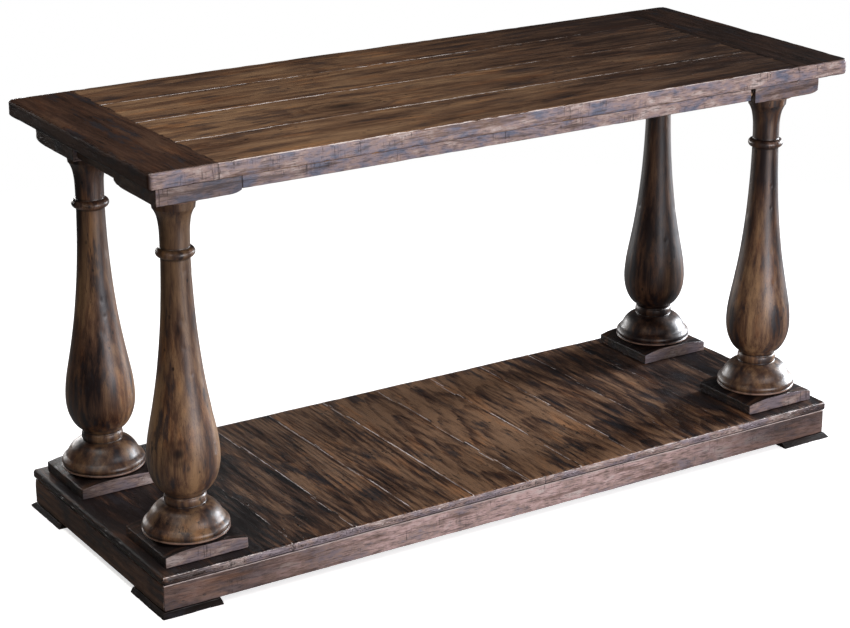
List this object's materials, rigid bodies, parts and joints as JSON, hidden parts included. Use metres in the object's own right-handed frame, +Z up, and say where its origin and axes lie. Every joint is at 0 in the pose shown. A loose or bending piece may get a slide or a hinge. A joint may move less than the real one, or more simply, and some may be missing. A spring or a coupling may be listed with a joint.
{
  "type": "console table",
  "caption": "Rustic console table with a planked top, turned baluster legs and a low boarded shelf on a plinth.",
  "frame": {"origin": "on the floor, under the middle of the table", "axes": "+X along the length to the right, +Y from the front to the back, +Z up"},
  "size_m": [1.442, 0.56, 0.762],
  "materials": {
    "top_wood": "waxed, worn, mid brown",
    "end_wood": "waxed, worn, dark brown",
    "frame_wood": "weathered, matt brown",
    "leg_wood": "waxed, dark walnut brown with amber streaks",
    "shelf_wood": "waxed, worn, very dark brown",
    "plinth_wood": "weathered, matt pinkish brown",
    "inner_wood": "plain sawn, unfinished",
    "foot_wood": "near-black stain",
    "steel": "zinc plated"
  },
  "bodies": {
    "root": {"top_plank_1": "top_wood", "top_plank_2": "top_wood", "top_plank_3": "top_wood", "top_plank_4": "top_wood", "breadboard_left": "end_wood", "breadboard_right": "end_wood", "top_batten_left": "inner_wood", "top_batten_middle": "inner_wood", "top_batten_right": "inner_wood", "frame_rail_front": "frame_wood", "frame_rail_back": "frame_wood", "frame_rail_left": "frame_wood", "frame_rail_right": "frame_wood", "corner_block_front_left": "frame_wood", "corner_block_front_right": "frame_wood", "corner_block_back_left": "frame_wood", "corner_block_back_right": "frame_wood", "leg_front_left": "leg_wood", "leg_front_right": "leg_wood", "leg_back_left": "leg_wood", "leg_back_right": "leg_wood", "leg_base_front_left": "shelf_wood", "leg_base_front_right": "shelf_wood", "leg_base_back_left": "shelf_wood", "leg_base_back_right": "shelf_wood", "shelf_board_01": "shelf_wood", "shelf_board_02": "shelf_wood", "shelf_board_03": "shelf_wood", "shelf_board_04": "shelf_wood", "shelf_board_05": "shelf_wood", "shelf_board_06": "shelf_wood", "shelf_board_07": "shelf_wood", "shelf_board_08": "shelf_wood", "shelf_board_09": "shelf_wood", "shelf_board_10": "shelf_wood", "shelf_board_11": "shelf_wood", "shelf_board_12": "shelf_wood", "shelf_bearer_front": "inner_wood", "shelf_bearer_back": "inner_wood", "plinth_front": "plinth_wood", "plinth_back": "plinth_wood", "plinth_left": "plinth_wood", "plinth_right": "plinth_wood", "plinth_block_front_left": "inner_wood", "plinth_block_front_right": "inner_wood", "plinth_block_back_left": "inner_wood", "plinth_block_back_right": "inner_wood", "foot_pad_front_left": "foot_wood", "foot_pad_front_right": "foot_wood", "foot_pad_back_left": "foot_wood", "foot_pad_back_right": "foot_wood", "leg_bolts": "steel", "leg_washers": "steel", "leg_nuts": "steel", "rail_dowels": "inner_wood", "top_screws": "steel", "shelf_screws": "steel", "foot_screws": "steel"}
  },
  "joints": []
}
